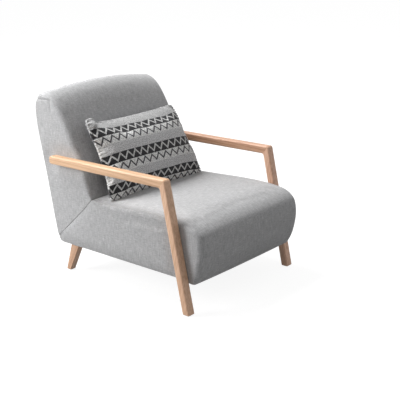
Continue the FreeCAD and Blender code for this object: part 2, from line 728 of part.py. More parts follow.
def build():
    parts = {}
    bolts = bolt_places()
    bolt_holes = [along_x(p, 0, half_width - arm_edge_radius, bolt_radius + fit_gap)
                  for p in bolts]
    shank_holes = [along_x(p, 0, half_body, bolt_radius + fit_gap) for p in bolts]
    insert_holes = [along_x(p, half_body, half_body + insert_length, insert_radius)
                    for p in bolts]

    # Arm frames and legs
    whole = arm_frame()
    tool = mitre_tool()
    pins = mitre_pins(mitre_dowel_radius)
    pin_holes = mitre_pins(mitre_dowel_radius + fit_gap)
    front_place, rear_place = glide_places()
    front_leg = drilled(whole.common(tool), pin_holes + insert_holes[:2]
                        + [glide(front_place, fit_gap)])
    arm_rail = drilled(whole.cut(tool), pin_holes + insert_holes[2:])
    screws = plate_screw_places()
    leg_sleeve_base = leg_plate_middle() + V(0, 0, plate_thickness)
    leg = drilled(rear_leg(), [hanger_bolt(fit_gap), glide(rear_place, fit_gap)])
    plate = drilled(leg_plate(0), [hanger_bolt(fit_gap)]
                    + [plate_screw(p, fit_gap) for p in screws])
    left_pieces = {"arm_rail": arm_rail, "front_leg": front_leg, "rear_leg": leg}

    # Side rails, posts and stiles
    dowel_holes = frame_dowels(fit_gap)
    sleeve_hole = Part.makeCylinder(insert_radius, insert_length, leg_sleeve_base)
    post = rear_bar(frame_bottom, post_top, post_width, frame_inner, frame_outer)
    side_rail = box(frame_inner, frame_outer, front_rail_y + rail_thickness,
                    frame_rear(frame_bottom) - rail_thickness, frame_bottom, rail_top).cut(post)
    stile = back_stile().cut(post)
    left_pieces["side_rail"] = drilled(side_rail, dowel_holes + shank_holes[:2] + [sleeve_hole]
                                       + [plate_screw(p, fit_gap) for p in screws])
    left_pieces["back_post"] = drilled(post, dowel_holes)
    left_pieces["back_stile"] = drilled(stile, shank_holes[2:])
    all_dowel_holes = dowel_holes + [mirrored(d) for d in dowel_holes]
    front_rail = box(-frame_outer, frame_outer, front_rail_y, front_rail_y + rail_thickness,
                     frame_bottom, rail_top)
    spring_rail = box(-frame_inner, frame_inner, spring_rail_y, spring_rail_y + rail_thickness,
                      frame_bottom, rail_top)
    rear_rail = rear_bar(frame_bottom, rail_top, rail_thickness, -frame_inner, frame_inner)
    top_rail = rear_bar(post_top - top_rail_height, post_top, top_rail_depth,
                        -frame_inner, frame_inner)
    middle_rail = rear_bar(middle_rail_bottom, middle_rail_bottom + middle_rail_height,
                           rail_thickness, -frame_inner, frame_inner)
    parts["front_seat_rail"] = drilled(front_rail, all_dowel_holes)
    parts["spring_rail"] = drilled(spring_rail, all_dowel_holes)
    parts["rear_seat_rail"] = drilled(rear_rail, all_dowel_holes)
    parts["back_top_rail"] = drilled(top_rail, all_dowel_holes)
    parts["back_middle_rail"] = drilled(middle_rail, all_dowel_holes)
    parts["seat_brace"] = box(-brace_width / 2, brace_width / 2, front_rail_y + rail_thickness,
                              spring_rail_y, frame_bottom, frame_bottom + rail_thickness)
    front_block = corner_block(front_rail_y + rail_thickness, 1)
    rear_block = corner_block(frame_rear(frame_bottom) - rail_thickness, -1)
    parts["corner_blocks"] = Part.makeCompound(both_sides(front_block) + both_sides(rear_block))
    parts["frame_dowels"] = Part.makeCompound(
        [d for pair in map(both_sides, frame_dowels(0)) for d in pair])
    parts["mitre_dowels"] = Part.makeCompound([d for pair in map(both_sides, pins) for d in pair])

    # Fasteners and feet
    parts["arm_bolts"] = Part.makeCompound(
        [b for p in bolts for b in both_sides(arm_bolt(p))])
    parts["arm_bolt_washers"] = Part.makeCompound(
        [w for p in bolts for w in both_sides(arm_washer(p))])
    sleeves = [sleeve(p, V(1, 0, 0)) for p in bolts] + [sleeve(leg_sleeve_base, V(0, 0, 1))]
    parts["threaded_inserts"] = Part.makeCompound(
        [s for one in sleeves for s in both_sides(one)])
    parts["rear_leg_plates"] = Part.makeCompound(both_sides(plate))
    parts["rear_leg_bolts"] = Part.makeCompound(both_sides(hanger_bolt(0)))
    parts["plate_screws"] = Part.makeCompound(
        [s for p in screws for s in both_sides(plate_screw(p, 0))])
    parts["foot_glides"] = Part.makeCompound(
        both_sides(glide(front_place, 0)) + both_sides(glide(rear_place, 0)))

    # Springs and webbing
    spring_from = front_rail_y + rail_thickness / 2
    spring_to = spring_rail_y + rail_thickness / 2
    spring_places = [spring_spacing * (k - (spring_count - 1) / 2) for k in range(spring_count)]
    parts["seat_springs"] = Part.makeCompound(
        [spring(x, spring_from, spring_to) for x in spring_places])
    parts["spring_clips"] = Part.makeCompound(
        [spring_clip(x, y) for x in spring_places for y in (spring_from, spring_to)])
    parts["back_webbing"] = Part.makeCompound(
        [webbing(webbing_first + webbing_pitch * k) for k in range(webbing_count)])
    parts["spring_felt"] = box(-frame_inner, frame_inner, front_rail_y,
                               crease_y - fabric - soft_gap, felt_bottom, felt_bottom + felt)

    # Body covers
    parts["seat_cover"] = seat_layer(0, fabric, crease_y, half_body - soft_gap)
    parts["back_cover"] = back_layer(0, fabric, half_body - soft_gap)
    parts["crease_flaps"] = Part.makeCompound([seat_flap(), back_flap()])
    parts["rear_cover"] = rear_cover()
    cover_layer = side_layer(wadding_start, half_body, fabric).cut(side_seam())
    cover_layer = drilled(cover_layer, bolt_holes)
    seat_side, back_side = sorted(cover_layer.Solids, key=lambda s: s.CenterOfMass.y)
    left_pieces["seat_side_cover"] = seat_side
    left_pieces["back_side_cover"] = back_side
    left_pieces["side_wadding"] = drilled(side_layer(wadding_start, wadding_outer, side_wadding),
                                          bolt_holes)
    left_pieces["side_board"] = drilled(side_layer(board_margin, board_outer, board), bolt_holes)
    dust_cover = box(-frame_inner, frame_inner, front_rail_y, frame_rear(body_bottom),
                     body_bottom, frame_bottom)
    parts["dust_cover"] = drilled(dust_cover, both_sides(leg_plate(soft_gap)))

    # Padding
    core = frame_outer - soft_gap
    tall, far = overall_height, rear_reach
    seat_end = crease_y - wadding_start
    parts["seat_wadding"] = seat_layer(wadding_start, wadding, seat_end, board_outer).common(
        box(-half_width, half_width, -nose_reach, far, frame_bottom, tall))
    seat_core = seat_solid(foam_start, seat_end, core)
    parts["front_roll_foam"] = seat_core.common(
        box(-half_width, half_width, -nose_reach, front_rail_y - soft_gap, frame_bottom, tall))
    parts["seat_foam"] = seat_core.common(
        box(-half_width, half_width, front_rail_y, crease_y, foam_bottom, tall))
    back_core = back_solid(foam_start, core)
    gap_line = webbing_thickness + soft_gap
    before_stile = slab([(0, foam_bottom), (stile_front(foam_bottom) - gap_line, foam_bottom),
                         (stile_front(post_top) - gap_line, post_top), (0, post_top)],
                        -half_width, half_width)
    parts["back_foam"] = back_core.common(before_stile)
    parts["top_foam"] = back_core.common(
        box(-half_width, half_width, 0, far, post_top + soft_gap, tall))
    parts["back_wadding"] = back_layer(wadding_start, wadding, board_outer)
    seam_z = crease_height + (overall_height - crease_height) * back_shares[rear_seam_index][1]
    pad_top = seam_z - fabric
    rear_face = board + soft_gap
    behind_board = slab([(frame_rear(frame_bottom) + rear_face, frame_bottom),
                         (frame_rear(pad_top) + rear_face, pad_top),
                         (far, pad_top), (far, frame_bottom)], -half_width, half_width)
    parts["rear_padding"] = back_solid(wadding_start, core).common(behind_board)
    parts["rear_board"] = slab([(frame_rear(frame_bottom), frame_bottom),
                                (frame_rear(post_top), post_top),
                                (frame_rear(post_top) + board, post_top),
                                (frame_rear(frame_bottom) + board, frame_bottom)],
                               -frame_outer, frame_outer)

    # Cushion
    parts["cushion_front_cover"] = cushion_cover(0)
    parts["cushion_back_cover"] = cushion_cover(1)
    parts["cushion_filling"] = cushion_filling()

    for name, shape in left_pieces.items():
        parts["left_" + name] = shape
        parts["right_" + name] = mirrored(shape)
    return parts


def side_seam():
    """The slanted seam from the inner corner down to the rear lower corner of the side."""
    run = frame_rear_y - crease_y
    drop = crease_height - body_bottom
    corner_y = crease_y + seat_edge_radius
    line = [(corner_y - overrun, crease_height + overrun), (corner_y, crease_height)]
    line += [(crease_y + run * along, crease_height - drop * down)
             for along, down in zip(seam_along_shares, seam_down_shares)]
    line.append((frame_rear_y + overrun, body_bottom - overrun))
    back = [(y + seam_width, z + seam_width) for y, z in reversed(line)]
    return slab(line + back, frame_outer, half_width)


def export(parts):
    os.makedirs("parts", exist_ok=True)
    for name, shape in parts.items():
        shape.translate(V(0, base_y, 0))
        shape.exportStep("parts/" + name + ".step")
        state = "valid" if shape.isValid() else "NOT VALID"
        print(name, len(shape.Solids), "solids", round(shape.Volume), state)
    print(len(parts), "nodes")


export(build())
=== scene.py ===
# %% [markdown]
# # An open-arm lounge chair
# The chair is an L-shaped padded body that hangs between two mitred beech frames, with two
# splayed rear legs and one loose cushion in a zigzag weave. The timber, the fasteners and all
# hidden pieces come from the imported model. The soft pieces are made here, because cloth over
# foam has folds, swells and drawn-in seams that a solid can't hold.

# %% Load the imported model
import json
import math

import bpy
import numpy as np
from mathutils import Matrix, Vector


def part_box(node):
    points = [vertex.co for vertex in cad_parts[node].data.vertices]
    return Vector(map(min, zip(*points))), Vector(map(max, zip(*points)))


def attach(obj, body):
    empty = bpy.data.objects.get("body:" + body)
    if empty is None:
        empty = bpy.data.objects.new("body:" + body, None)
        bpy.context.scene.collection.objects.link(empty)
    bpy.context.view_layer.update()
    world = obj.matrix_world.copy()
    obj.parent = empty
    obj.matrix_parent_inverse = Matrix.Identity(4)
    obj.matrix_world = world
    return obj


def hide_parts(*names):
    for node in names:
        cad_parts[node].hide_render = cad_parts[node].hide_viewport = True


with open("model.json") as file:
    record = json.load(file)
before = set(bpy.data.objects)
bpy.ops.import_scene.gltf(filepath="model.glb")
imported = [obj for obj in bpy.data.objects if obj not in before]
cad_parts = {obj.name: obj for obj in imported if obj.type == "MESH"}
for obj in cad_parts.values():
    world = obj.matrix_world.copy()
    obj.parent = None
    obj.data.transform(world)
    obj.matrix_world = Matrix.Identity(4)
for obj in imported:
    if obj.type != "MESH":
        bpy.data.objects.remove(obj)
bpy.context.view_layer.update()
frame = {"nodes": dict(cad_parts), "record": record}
nodes = frame["nodes"]
scene = bpy.context.scene
bpy.ops.object.select_all(action="DESELECT")

# %% [markdown]
# ## Sizes that the soft pieces share
# The side outlines below are read in millimetres from the front feet, as an upholsterer would
# chalk them on a board. The floor origin is under the middle of the chair, so one number moves
# them there. The width of the body and the height of its lower edge come from the model.

# %% Shared sizes
MM = 0.001
feet_to_origin = -454.5
body_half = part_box("left_seat_side_cover")[1].x
body_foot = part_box("dust_cover")[0].z
print("half the body's width", round(body_half, 4), "lower edge", round(body_foot, 4))


def line_through(points, step):
    """A smooth line through points of any width, with about one sample per step of length."""
    points = np.array(points, float)
    ends = [2 * points[0] - points[1], *points, 2 * points[-1] - points[-2]]
    line = []
    for before, start, stop, after in zip(ends, ends[1:], ends[2:], ends[3:]):
        count = max(1, round(np.linalg.norm((stop - start)[:2]) / step))
        for t in np.arange(count) / count:
            line.append(0.5 * (2 * start + (stop - before) * t
                               + (2 * before - 5 * start + 4 * stop - after) * t ** 2
                               + (3 * start - before - 3 * stop + after) * t ** 3))
    return np.array(line + [points[-1]])


def straight_run(points, step):
    """Samples along straight runs between points."""
    points = np.array(points, float)
    line = []
    for start, stop in zip(points, points[1:]):
        count = max(1, round(np.linalg.norm((stop - start)[:2]) / step))
        line += [start + (stop - start) * k / count for k in range(count)]
    return np.array(line + [points[-1]])


# %% [markdown]
# ## Outlines of the seat and the back
# Each row is a point of the side view: distance behind the front feet, height, the radius of
# the edge where the top turns into the side, and how much the middle stands proud of the sides.
# Seat and back share the slanted seam that shows on the side of the real chair.

# %% Side outlines
seam_line = [(602, 388, 1.4, 0), (652, 335, 1.4, 0), (693, 297, 1.4, 0), (722, 270, 1.4, 0),
             (776, 220, 1.4, 0), (826, 174, 1.4, 0), (835, 167, 2, 0)]
corner_line = [(835, 167, 2, 0), (832, 153, 4, 0), (824, 143, 4, 0), (808, 139, 4, 0)]
seat_line = [(6, 126, 12, 2), (-23, 167, 26, 5), (-43, 232, 31, 6), (-50, 294, 32, 6),
             (-39, 350, 30, 6), (-13, 379, 27, 7), (24, 397, 24, 8), (72, 405, 18, 8),
             (120, 409, 16, 8), (240, 407, 15, 8), (352, 402, 14, 8), (480, 395, 14, 8),
             (560, 391, 12, 5), (594, 389, 5, 1)]
under_line = [(790, 139.3, 4, 0), (70, 139.3, 5, 0), (26, 127, 8, 1)]
back_line = [(601, 390, 5, 0), (615, 430, 18, 2), (642, 516, 24, 4), (691, 614, 27, 5),
             (728, 693, 28, 6), (763, 754, 28, 7), (793, 803, 28, 11), (829, 844, 28, 17),
             (876, 867, 27, 21), (922, 859, 22, 19), (945, 834, 14, 12), (954, 791, 8, 2)]
rear_line = [(952.5, 740, 6, 0), (944, 672, 6, 0), (921, 569, 6, 0), (893, 440, 6, 0),
             (865, 300, 6, 0), (844, 205, 5, 0), (837, 176, 3, 0)]
mesh_step = 13
seat_ring = np.concatenate([line_through(seat_line, mesh_step),
                            line_through(seam_line, mesh_step)[:-1],
                            line_through(corner_line, mesh_step / 2),
                            straight_run(under_line, mesh_step)])
back_ring = np.concatenate([line_through(back_line, mesh_step)[:-1],
                            line_through(back_line[-1:] + rear_line, mesh_step),
                            line_through(seam_line[::-1], mesh_step)])
print("seat outline", len(seat_ring), "points, back outline", len(back_ring), "points")

# %% [markdown]
# ## From a ball to a pad
# A pad could be cut from a cube, but its edges would then need many loops. A ball with its
# poles at the two sides has them already: every ring of the ball is moved to the outline, the
# rings near the sides shrink along a quarter circle, and the last ones close the side panel.

# %% Rounding and crown
rounding_depths = np.array([0, 0.9, 2.4, 5, 9, 14, 20, 26])
rounding_run = 30
cap_shares = np.array([0.035, 0.1, 0.17, 0.25, 0.33, 0.41, 0.49, 0.57, 0.65, 0.73, 0.8, 0.86,
                       0.91, 0.95, 0.978, 0.992])
inset_fade = 4

# A stuffed cover is never quite even: its edges are sharper on the right, and its crown differs
# from side to side. These shares say how much of the outline's radius and crown is used.
right_radius, left_crown = 0.8, 1.15
seat_right_crown, back_right_crown = 0.2, 1.4


def outward(ring):
    """Directions that point away from a closed side outline."""
    along = np.roll(ring, -1, 0)[:, :2] - np.roll(ring, 1, 0)[:, :2]
    along /= np.linalg.norm(along, axis=1)[:, None]
    out = np.stack([-along[:, 1], along[:, 0]], 1)
    y, z = ring[:, 0], ring[:, 1]
    area = np.sum(y * np.roll(z, -1) - np.roll(y, -1) * z)
    return out if area < 0 else -out


def ring_at(ring, x, half, inset, right_crown):
    """The outline at x: rounded towards the sides, crowned in the middle, drawn in by inset."""
    radius = ring[:, 2] * (right_radius if x > 0 else 1)
    depth = np.minimum(half - abs(x), radius)
    edge = radius * (1 - np.sqrt(np.maximum(0, 1 - (1 - depth / radius) ** 2)))
    crown = ring[:, 3] * (right_crown if x > 0 else left_crown)
    shrink = edge + crown * (x / half) ** 2 + inset
    return ring[:, :2] - outward(ring) * shrink[:, None]


print("rounding over", rounding_run, "mm,", len(cap_shares), "rings close each side panel")

# %% [markdown]
# The rings run from side to side: first those of one side panel, from its hub to its edge, then
# those of the rounding and the top cloth, and then the same again, mirrored.

# %% Rings of a pad
def pad_rings(ring, centre, half, step, inset, right_crown):
    """All rings of a pad, as a table of ring, point and place."""
    flat_half = half - rounding_run
    inner = np.linspace(-flat_half, flat_half, round(2 * flat_half / step))
    xs = np.concatenate([-(half - rounding_depths), inner, (half - rounding_depths)[::-1]])
    rows = [np.column_stack([np.full(len(ring), x), ring_at(ring, x, half, inset, right_crown)])
            for x in xs]
    hub = np.array([0, *centre], float)
    caps = []
    for share in cap_shares:
        cap = hub + (rows[0] - hub) * share
        cap[:, 0] = rows[0][0, 0]
        caps.append(cap)
    far_caps = [cap * (-1, 1, 1) for cap in caps]
    return np.array(caps + rows + far_caps[::-1])


# %% [markdown]
# A pattern on cloth has to follow the cloth, so each pad gets a map of it, in metres. The side
# panels are cut flat, so theirs is the side view. The top cloth is rolled out both ways.

# %% The map of the cloth
def lay_cloth(pad, where, length, spread, first, last):
    """A UV map in metres: across and along the top cloth, fore-aft and up on the side panels.
    Both are measured on the surface, so that no yarn is stretched where the cloth turns."""
    cloth = pad.data.uv_layers[0] if pad.data.uv_layers else pad.data.uv_layers.new(name="cloth")
    cloth.name = "cloth"
    for face in pad.data.polygons:
        levels = [where[i][0] for i in face.vertices]
        side = min(levels) < first or max(levels) >= last
        for corner, i in zip(face.loop_indices, face.vertices):
            co = pad.data.vertices[i].co
            level, turn = where[i]
            cloth.data[corner].uv = ((co.y, co.z) if side
                                     else (spread[level, turn] * MM, length[turn] * MM))


# %% [markdown]
# The ball has as many rings and points as the table. Each of its points finds its row and turn
# from where it lies on the ball, and is moved to the place that the table gives.

# %% Making one pad
def pad_from_ball(name, ring, centre, half, step=mesh_step, shown=0, inset=0.0,
                  right_crown=1.0):
    """A closed pad with the side outline ring, its side panels closing in on centre. The first
    points of the outline, as many as shown, start smaller by inset."""
    turns = np.arange(len(ring))
    inset = inset * np.clip(np.minimum(turns, shown - 1 - turns) / inset_fade, 0, 1)
    table = pad_rings(ring, centre, half, step, inset, right_crown)
    count = len(table)
    bpy.ops.mesh.primitive_uv_sphere_add(segments=len(ring), ring_count=count + 1, radius=1)
    pad = bpy.context.object
    pad.name = pad.data.name = name
    where = []
    for v in pad.data.vertices:
        level = round(math.acos(max(-1, min(1, v.co.z))) / math.pi * (count + 1)) - 1
        turn = round(math.atan2(v.co.y, v.co.x) / (2 * math.pi) * len(ring)) % len(ring)
        pole = level < 0 or level >= count
        x = -half if level < 0 else half
        place = np.array([x, *centre]) if pole else table[level, turn]
        v.co = (place + (0, feet_to_origin, 0)) * MM
        where.append((level, turn))
    bpy.ops.object.mode_set(mode="EDIT")
    bpy.ops.mesh.select_all(action="SELECT")
    bpy.ops.mesh.normals_make_consistent(inside=False)
    bpy.ops.object.mode_set(mode="OBJECT")
    runs = np.linalg.norm(np.diff(ring[:, :2], axis=0), axis=1)
    length = np.concatenate([[0], np.cumsum(runs)])
    steps = np.linalg.norm(np.diff(table, axis=0, prepend=table[:1]), axis=2)
    spread = np.cumsum(steps, axis=0)
    spread -= spread[count // 2]
    lay_cloth(pad, where, length, spread, len(cap_shares), count - len(cap_shares))
    bpy.ops.object.shade_smooth()
    print(name, len(pad.data.vertices), "points")
    return pad, np.array(where)


# %% [markdown]
# The hubs lie in the middle of the side panels, where the rings can close without crossing. The
# covers start 2 mm inside the outline, which the swelling gives back.

# %% Seat and back pads
half_mm = body_half / MM
seat_hub, back_hub, cover_inset = (330, 270), (822, 480), 2
seat_shown = len(line_through(seat_line, mesh_step))
back_shown = len(line_through(back_line, mesh_step)) - 1
seat_pad, seat_where = pad_from_ball("seat_upholstery", seat_ring, seat_hub, half_mm,
                                     shown=seat_shown, inset=cover_inset,
                                     right_crown=seat_right_crown)
back_pad, back_where = pad_from_ball("back_upholstery", back_ring, back_hub, half_mm,
                                     shown=back_shown, inset=cover_inset,
                                     right_crown=back_right_crown)

# %% [markdown]
# ## Letting the pads swell
# Real covers are cut a little small, so the foam presses them out everywhere but at the seams.
# Cloth simulation does the same: the hidden faces and the seams are held, pressure swells the
# rest, and each point may move only a few millimetres, so the outline stays true.


# %% Swelling with cloth and pressure
def swell(pad, held, pressure, cap, frames=20, stiffness=18.0, bending=0.4, spare=0.0,
          outward_only=True):
    """Swells a pad by about cap metres at most, with the points in held kept where they are. The
    cloth has spare more length than the shape that it starts from."""
    rest = np.array([v.co for v in pad.data.vertices])
    out = np.array([v.normal for v in pad.data.vertices])
    group = pad.vertex_groups.new(name="held")
    group.add([int(i) for i in np.nonzero(held)[0]], 1.0, "REPLACE")
    bpy.ops.object.select_all(action="DESELECT")
    pad.select_set(True)
    bpy.context.view_layer.objects.active = pad
    bpy.ops.object.modifier_add(type="CLOTH")
    cloth = pad.modifiers[-1]
    cloth.settings.quality = 4
    cloth.settings.mass = 0.3
    cloth.settings.tension_stiffness = stiffness
    cloth.settings.compression_stiffness = stiffness
    cloth.settings.shear_stiffness = stiffness / 2
    cloth.settings.bending_stiffness = bending
    cloth.settings.shrink_min = -spare
    cloth.settings.vertex_group_mass = "held"
    cloth.settings.use_pressure = True
    cloth.settings.uniform_pressure_force = pressure
    cloth.settings.effector_weights.gravity = 0
    cloth.point_cache.frame_end = frames
    for number in range(1, frames + 1):
        scene.frame_set(number)
    bpy.ops.object.modifier_apply(modifier=cloth.name)
    scene.frame_set(1)
    moved = np.array([v.co for v in pad.data.vertices]) - rest
    lifted = np.sum(moved * out, axis=1)[:, None]
    aside = moved - out * lifted
    lifted = np.maximum(lifted, 0 if outward_only else -cap)
    aside_size = np.linalg.norm(aside, axis=1)[:, None] + 1e-9
    limited = (out * cap * np.tanh(lifted / cap)
               + aside / aside_size * cap / 2 * np.tanh(aside_size / cap * 2))
    for v, place in zip(pad.data.vertices, rest + limited):
        v.co = place
    pad.vertex_groups.clear()
    print(pad.name, "swelled by up to", round(float(np.linalg.norm(limited, axis=1).max()), 4))


def hidden_points(where, shown):
    """True for the points of the outline's hidden part, seams included."""
    level, turn = where.T
    first, last = len(cap_shares) - 1, level.max() - len(cap_shares)
    return ((turn >= shown) | (turn < 1)) & (level >= first) & (level <= last)


swell(seat_pad, hidden_points(seat_where, seat_shown), pressure=1.5, cap=0.005)
swell(back_pad, hidden_points(back_where, back_shown), pressure=1.5, cap=0.004)

# %% [markdown]
# ## Side panels against the timber
# Where the arm rail and the front leg press on the body, the panel stays flat. Away from them
# it stands proud by up to a centimetre, most above the arm. The panels are moved sideways by a
# smooth amount that fades out at the outline and at the timber.

# %% Pressing the sides
def spaced(points):
    """Points of the side view, in millimetres from the front feet, as metres of the model."""
    return np.array(points, float) * MM + (feet_to_origin * MM, 0)


def distance_to(line, places):
    """Distance in the side view from each place to the nearest run of a line."""
    best = np.full(len(places), np.inf)
    for start, stop in zip(line, line[1:]):
        run = stop - start
        t = np.clip(((places - start) @ run) / (run @ run), 0, 1)
        best = np.minimum(best, np.linalg.norm(places - start - t[:, None] * run, axis=1))
    return best


def eased(value):
    """A share from 0 to 1 that starts and ends gently."""
    value = np.clip(value, 0, 1)
    return value * value * (3 - 2 * value)


rail_line = spaced([(150, 555), (838, 545)])
leg_line = spaced([(18, 0), (150, 555)])
timber_half, timber_fade, pressed_in = 0.021, 0.06, 0.0004
panel_reach, panel_fade, foot_fade = 0.05, 0.045, 0.06


def shape_sides(pad, proud):
    """Moves the side panels out by proud metres, and back in against the timber."""
    co = np.array([v.co for v in pad.data.vertices])
    level = np.abs(co[:, 0])
    places = co[:, 1:]
    timber = np.minimum(distance_to(rail_line, places), distance_to(leg_line, places))
    free = eased((timber - timber_half) / timber_fade)
    out = (proud * free * eased((level - body_half + panel_reach) / panel_fade)
           * eased((co[:, 2] - body_foot) / foot_fade))
    flat = np.minimum(level, body_half - pressed_in)
    co[:, 0] = np.sign(co[:, 0]) * (level * free + flat * (1 - free) + out)
    pad.data.vertices.foreach_set("co", co.ravel())
    pad.data.update()
    print(pad.name, "now reaches", round(float(np.abs(co[:, 0]).max()), 4))


shape_sides(seat_pad, proud=0.006)
shape_sides(back_pad, proud=0.007)

# %% [markdown]
# The steps so far need few points. Before the fine lines go in, each face is split in four with
# the subdivision modifier, which also rounds what lies between the points.

# %% Smoother pads
def subdivide_smoothly(pad):
    """Splits each face of a piece in four, rounded, and shades it smooth."""
    bpy.ops.object.select_all(action="DESELECT")
    pad.select_set(True)
    bpy.context.view_layer.objects.active = pad
    bpy.ops.object.modifier_add(type="SUBSURF")
    pad.modifiers[-1].levels = pad.modifiers[-1].render_levels = 1
    bpy.ops.object.modifier_apply(modifier=pad.modifiers[-1].name)
    bpy.ops.object.shade_smooth()


for pad in (seat_pad, back_pad):
    subdivide_smoothly(pad)
    print(pad.name, len(pad.data.polygons), "faces")


# %% [markdown]
# ## Seams and small folds
# A seam pulls the cloth in along a line. Each one is a groove pressed along its route on the
# side panel, with a soft profile, and the few folds that the real cover shows are wider ones.

# %% Pressing grooves
groove_reach, groove_fade = 0.02, 0.015


def press_line(pad, points, width, depth):
    """Presses a groove of width and depth in millimetres along a route in the side view, on
    both side panels."""
    co = np.array([v.co for v in pad.data.vertices])
    near = distance_to(spaced(points), co[:, 1:])
    push = depth * MM * np.exp(-(near / (width * MM)) ** 2)
    push *= eased((np.abs(co[:, 0]) - body_half + groove_reach) / groove_fade)
    normals = np.array([v.normal for v in pad.data.vertices])
    co -= normals * push[:, None]
    pad.data.vertices.foreach_set("co", co.ravel())
    pad.data.update()


top_seam = [(953, 803), (942, 809), (905, 812), (872, 813), (858, 808)]
top_pleat = [(852, 812), (849, 800), (848, 775)]
seat_seam = [(44, 387), (93, 397), (309, 380), (491, 373), (596, 376)]
roll_dart = [(18, 378), (40, 385), (72, 380)]
press_line(back_pad, top_seam, width=2.6, depth=4.2)
press_line(back_pad, top_pleat, width=4, depth=2.8)
press_line(seat_pad, seat_seam, width=3.5, depth=1.0)
press_line(seat_pad, roll_dart, width=6, depth=2.8)
print("seams, a pleat and a dart pressed on each side")

# %% [markdown]
# ## Outside back
# The rear of the body is closed by a separate panel that is sewn and stapled round its edge.
# It is a thin pad of its own, a little smaller than the body, that stands just proud of it.

# %% Rear panel
rear_face = np.array([(953, 782, 3, 0), (951.5, 740, 3, 0), (943, 672, 3, 0), (920.5, 569, 3, 0),
                      (893, 440, 3, 0), (866, 300, 3, 0), (845, 200, 3, 0), (834, 150, 3, 0)])
rear_proud, rear_sunk, rear_margin = 1.5, 9, 7
rear_step, inner_step, rear_hub = 18, 40, (890, 470)
rear_outer = line_through(rear_face + (rear_proud, 0, 0, 0), rear_step)
rear_inner = line_through(rear_face[::-1] - (rear_sunk, 0, 0, 0), inner_step)
rear_ring = np.concatenate([rear_outer, rear_inner])
rear_pad, _ = pad_from_ball("rear_upholstery", rear_ring, rear_hub, half_mm - rear_margin,
                            step=rear_step)
subdivide_smoothly(rear_pad)

# %% [markdown]
# ## The loose cushion
# Two rectangles of cloth are sewn together and stuffed. When they swell they can't stretch, so
# the sides draw in, the corners stand out as ears and small puckers run in from the seam. The
# blank here is a flat double layer that carries the map of the cloth.

# %% Cushion blank
cushion_wide, cushion_high = 0.600, 0.400
cells_wide, cells_high = 108, 70
blank_thick = 0.007
bpy.ops.mesh.primitive_grid_add(x_subdivisions=cells_wide, y_subdivisions=cells_high, size=1)
cushion = bpy.context.object
cushion.name = cushion.data.name = "zigzag_cushion"
# The second cloth is the rear's, kept dark as painted shade.
for cloth_name in ("zigzag_cotton_weave", "plain_weave_painted_shade"):
    cushion.data.materials.append(bpy.data.materials.new(cloth_name))
cushion.data.uv_layers[0].name = "cloth"
bpy.ops.object.modifier_add(type="SOLIDIFY")
cushion.modifiers[-1].thickness = blank_thick
cushion.modifiers[-1].offset = 0
bpy.ops.object.modifier_apply(modifier=cushion.modifiers[-1].name)
for corner in cushion.data.uv_layers["cloth"].data:
    corner.uv = (corner.uv[0] * cushion_wide, (1 - corner.uv[1]) * cushion_high)
print("cushion blank", len(cushion.data.vertices), "points")

# %% [markdown]
# A stuffed cushion is full in the middle, drawn in between its corners and here a little
# narrower at the top. Shares u and v say how far a point of the blank lies from the middle
# towards the side seam and the end seam. The swell falls off towards the seams by a power: a
# high one keeps the front full and a low one makes the back rounder.

# %% Sizes and swell of the cushion
cushion_low, cushion_top, cushion_tall = 0.645, 0.590, 0.372
front_depth, rear_depth = 0.060, 0.060
front_sides, front_ends, rear_powers, swell_power = 4, 2.6, 1.7, 0.7


def by_cloth(value, half, depth, power, samples=200):
    """Where a share of the cloth from the middle to the seam comes to lie, for a swell whose
    section is depth high in the middle and falls to nothing at half."""
    at = 1 - (1 - np.linspace(0, 1, samples)) ** 2
    length = np.cumsum(np.hypot(np.diff(at, prepend=0) * half,
                                np.diff((1 - at ** power) ** swell_power, prepend=1) * depth))
    return np.sign(value) * np.interp(np.abs(value), length / length[-1], at)


co = np.array([v.co for v in cushion.data.vertices])
u = by_cloth(co[:, 0] * 2, cushion_low / 2, front_depth, front_sides)
v = by_cloth(co[:, 1] * 2, cushion_tall / 2, front_depth, front_ends)
front = co[:, 2] > 0
side_power = np.where(front, front_sides, rear_powers)
end_power = np.where(front, front_ends, rear_powers)
full = np.maximum(0, (1 - np.abs(u) ** side_power) * (1 - np.abs(v) ** end_power)) ** swell_power
out = np.where(front, front_depth, -rear_depth) * full + co[:, 2]
print("cushion swells by", front_depth, "to the front and", rear_depth, "to the rear")

# %% [markdown]
# Between the corners the seam draws in, on the left side the most. The upper left corner stands
# up as a plump ear, because the filling has been pushed into it.

# %% Drawn-in sides and the ear
drawn_left, drawn_right, drawn_ends, ends_power = 0.024, 0.004, 0.009, 3
corner_cut, corner_power = 0.035, 12
ear_high, ear_wide, ear_plump, ear_power = 0.024, 0.003, 0.014, 5
ear_start, ear_fade = 0.74, 0.13
knob_side, knob_end, knob_wide, knob_tall = 0.93, 0.86, 0.05, 0.09
share = (v + 1) / 2
corner_pull = 1 - corner_cut * np.abs(u * v) ** corner_power
drawn = np.where(u < 0, drawn_left, drawn_right)
half_wide = (cushion_low * (1 - share) + cushion_top * share) / 2
across = u * corner_pull * (half_wide - drawn * (1 - v * v))
along = ((v * corner_pull + 1) / 2 * cushion_tall
         - np.sign(v) * drawn_ends * (1 - u * u) * np.abs(v) ** ends_power)
ear = eased((-u - ear_start) / ear_fade) * np.maximum(0, v) ** ear_power
along += ear_high * ear
across += ear_wide * ear
knob = np.exp(-((u + knob_side) / knob_wide) ** 2 - ((v - knob_end) / knob_tall) ** 2)
out += np.where(front, 1, -1) * ear_plump * knob
print("ear stands up by", ear_high)

# %% [markdown]
# The cushion leans on the back with its foot on the seat. Its flat form is tilted by the lean
# and set down at the foot. The faces of its rear are noted for the plain cloth.

